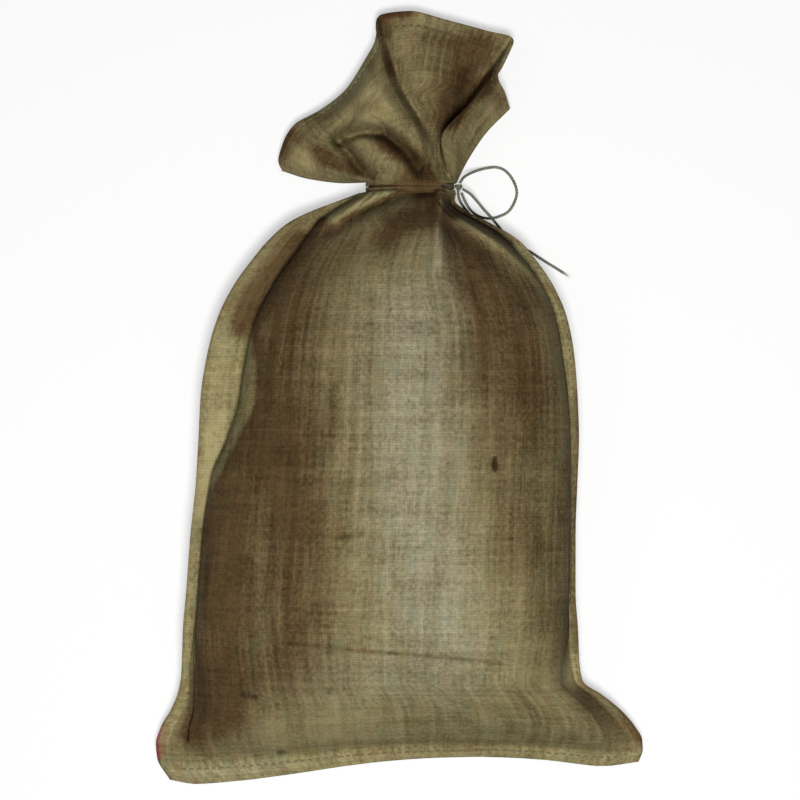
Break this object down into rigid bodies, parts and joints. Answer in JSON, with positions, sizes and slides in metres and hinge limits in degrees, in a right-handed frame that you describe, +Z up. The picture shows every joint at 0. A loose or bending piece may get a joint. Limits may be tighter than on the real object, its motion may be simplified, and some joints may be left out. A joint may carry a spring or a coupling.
{
  "type": "jute log bag",
  "caption": "filled jute sack lying on its back, its neck gathered and tied with twine under an open, folded mouth frill, with flat seam bands and corner ears",
  "frame": {"origin": "on the surface that the sack lies on, under the middle of the whole object", "axes": "+Z up out of the surface, +Y from the bottom hem to the mouth, +X to the right seen from above with the mouth away"},
  "size_m": [0.4818, 0.7639, 0.152],
  "materials": {
    "jute_cloth": "plain-woven jute, olive brown, slubby and matt",
    "jute_twine": "twisted jute twine, grey-green brown, hairy and matt"
  },
  "bodies": {
    "root": {"sack": "jute_cloth", "neck_binding": "jute_twine", "twine_knot": "jute_twine", "twine_loop": "jute_twine", "twine_tail": "jute_twine", "twine_short_end": "jute_twine"}
  },
  "joints": []
}
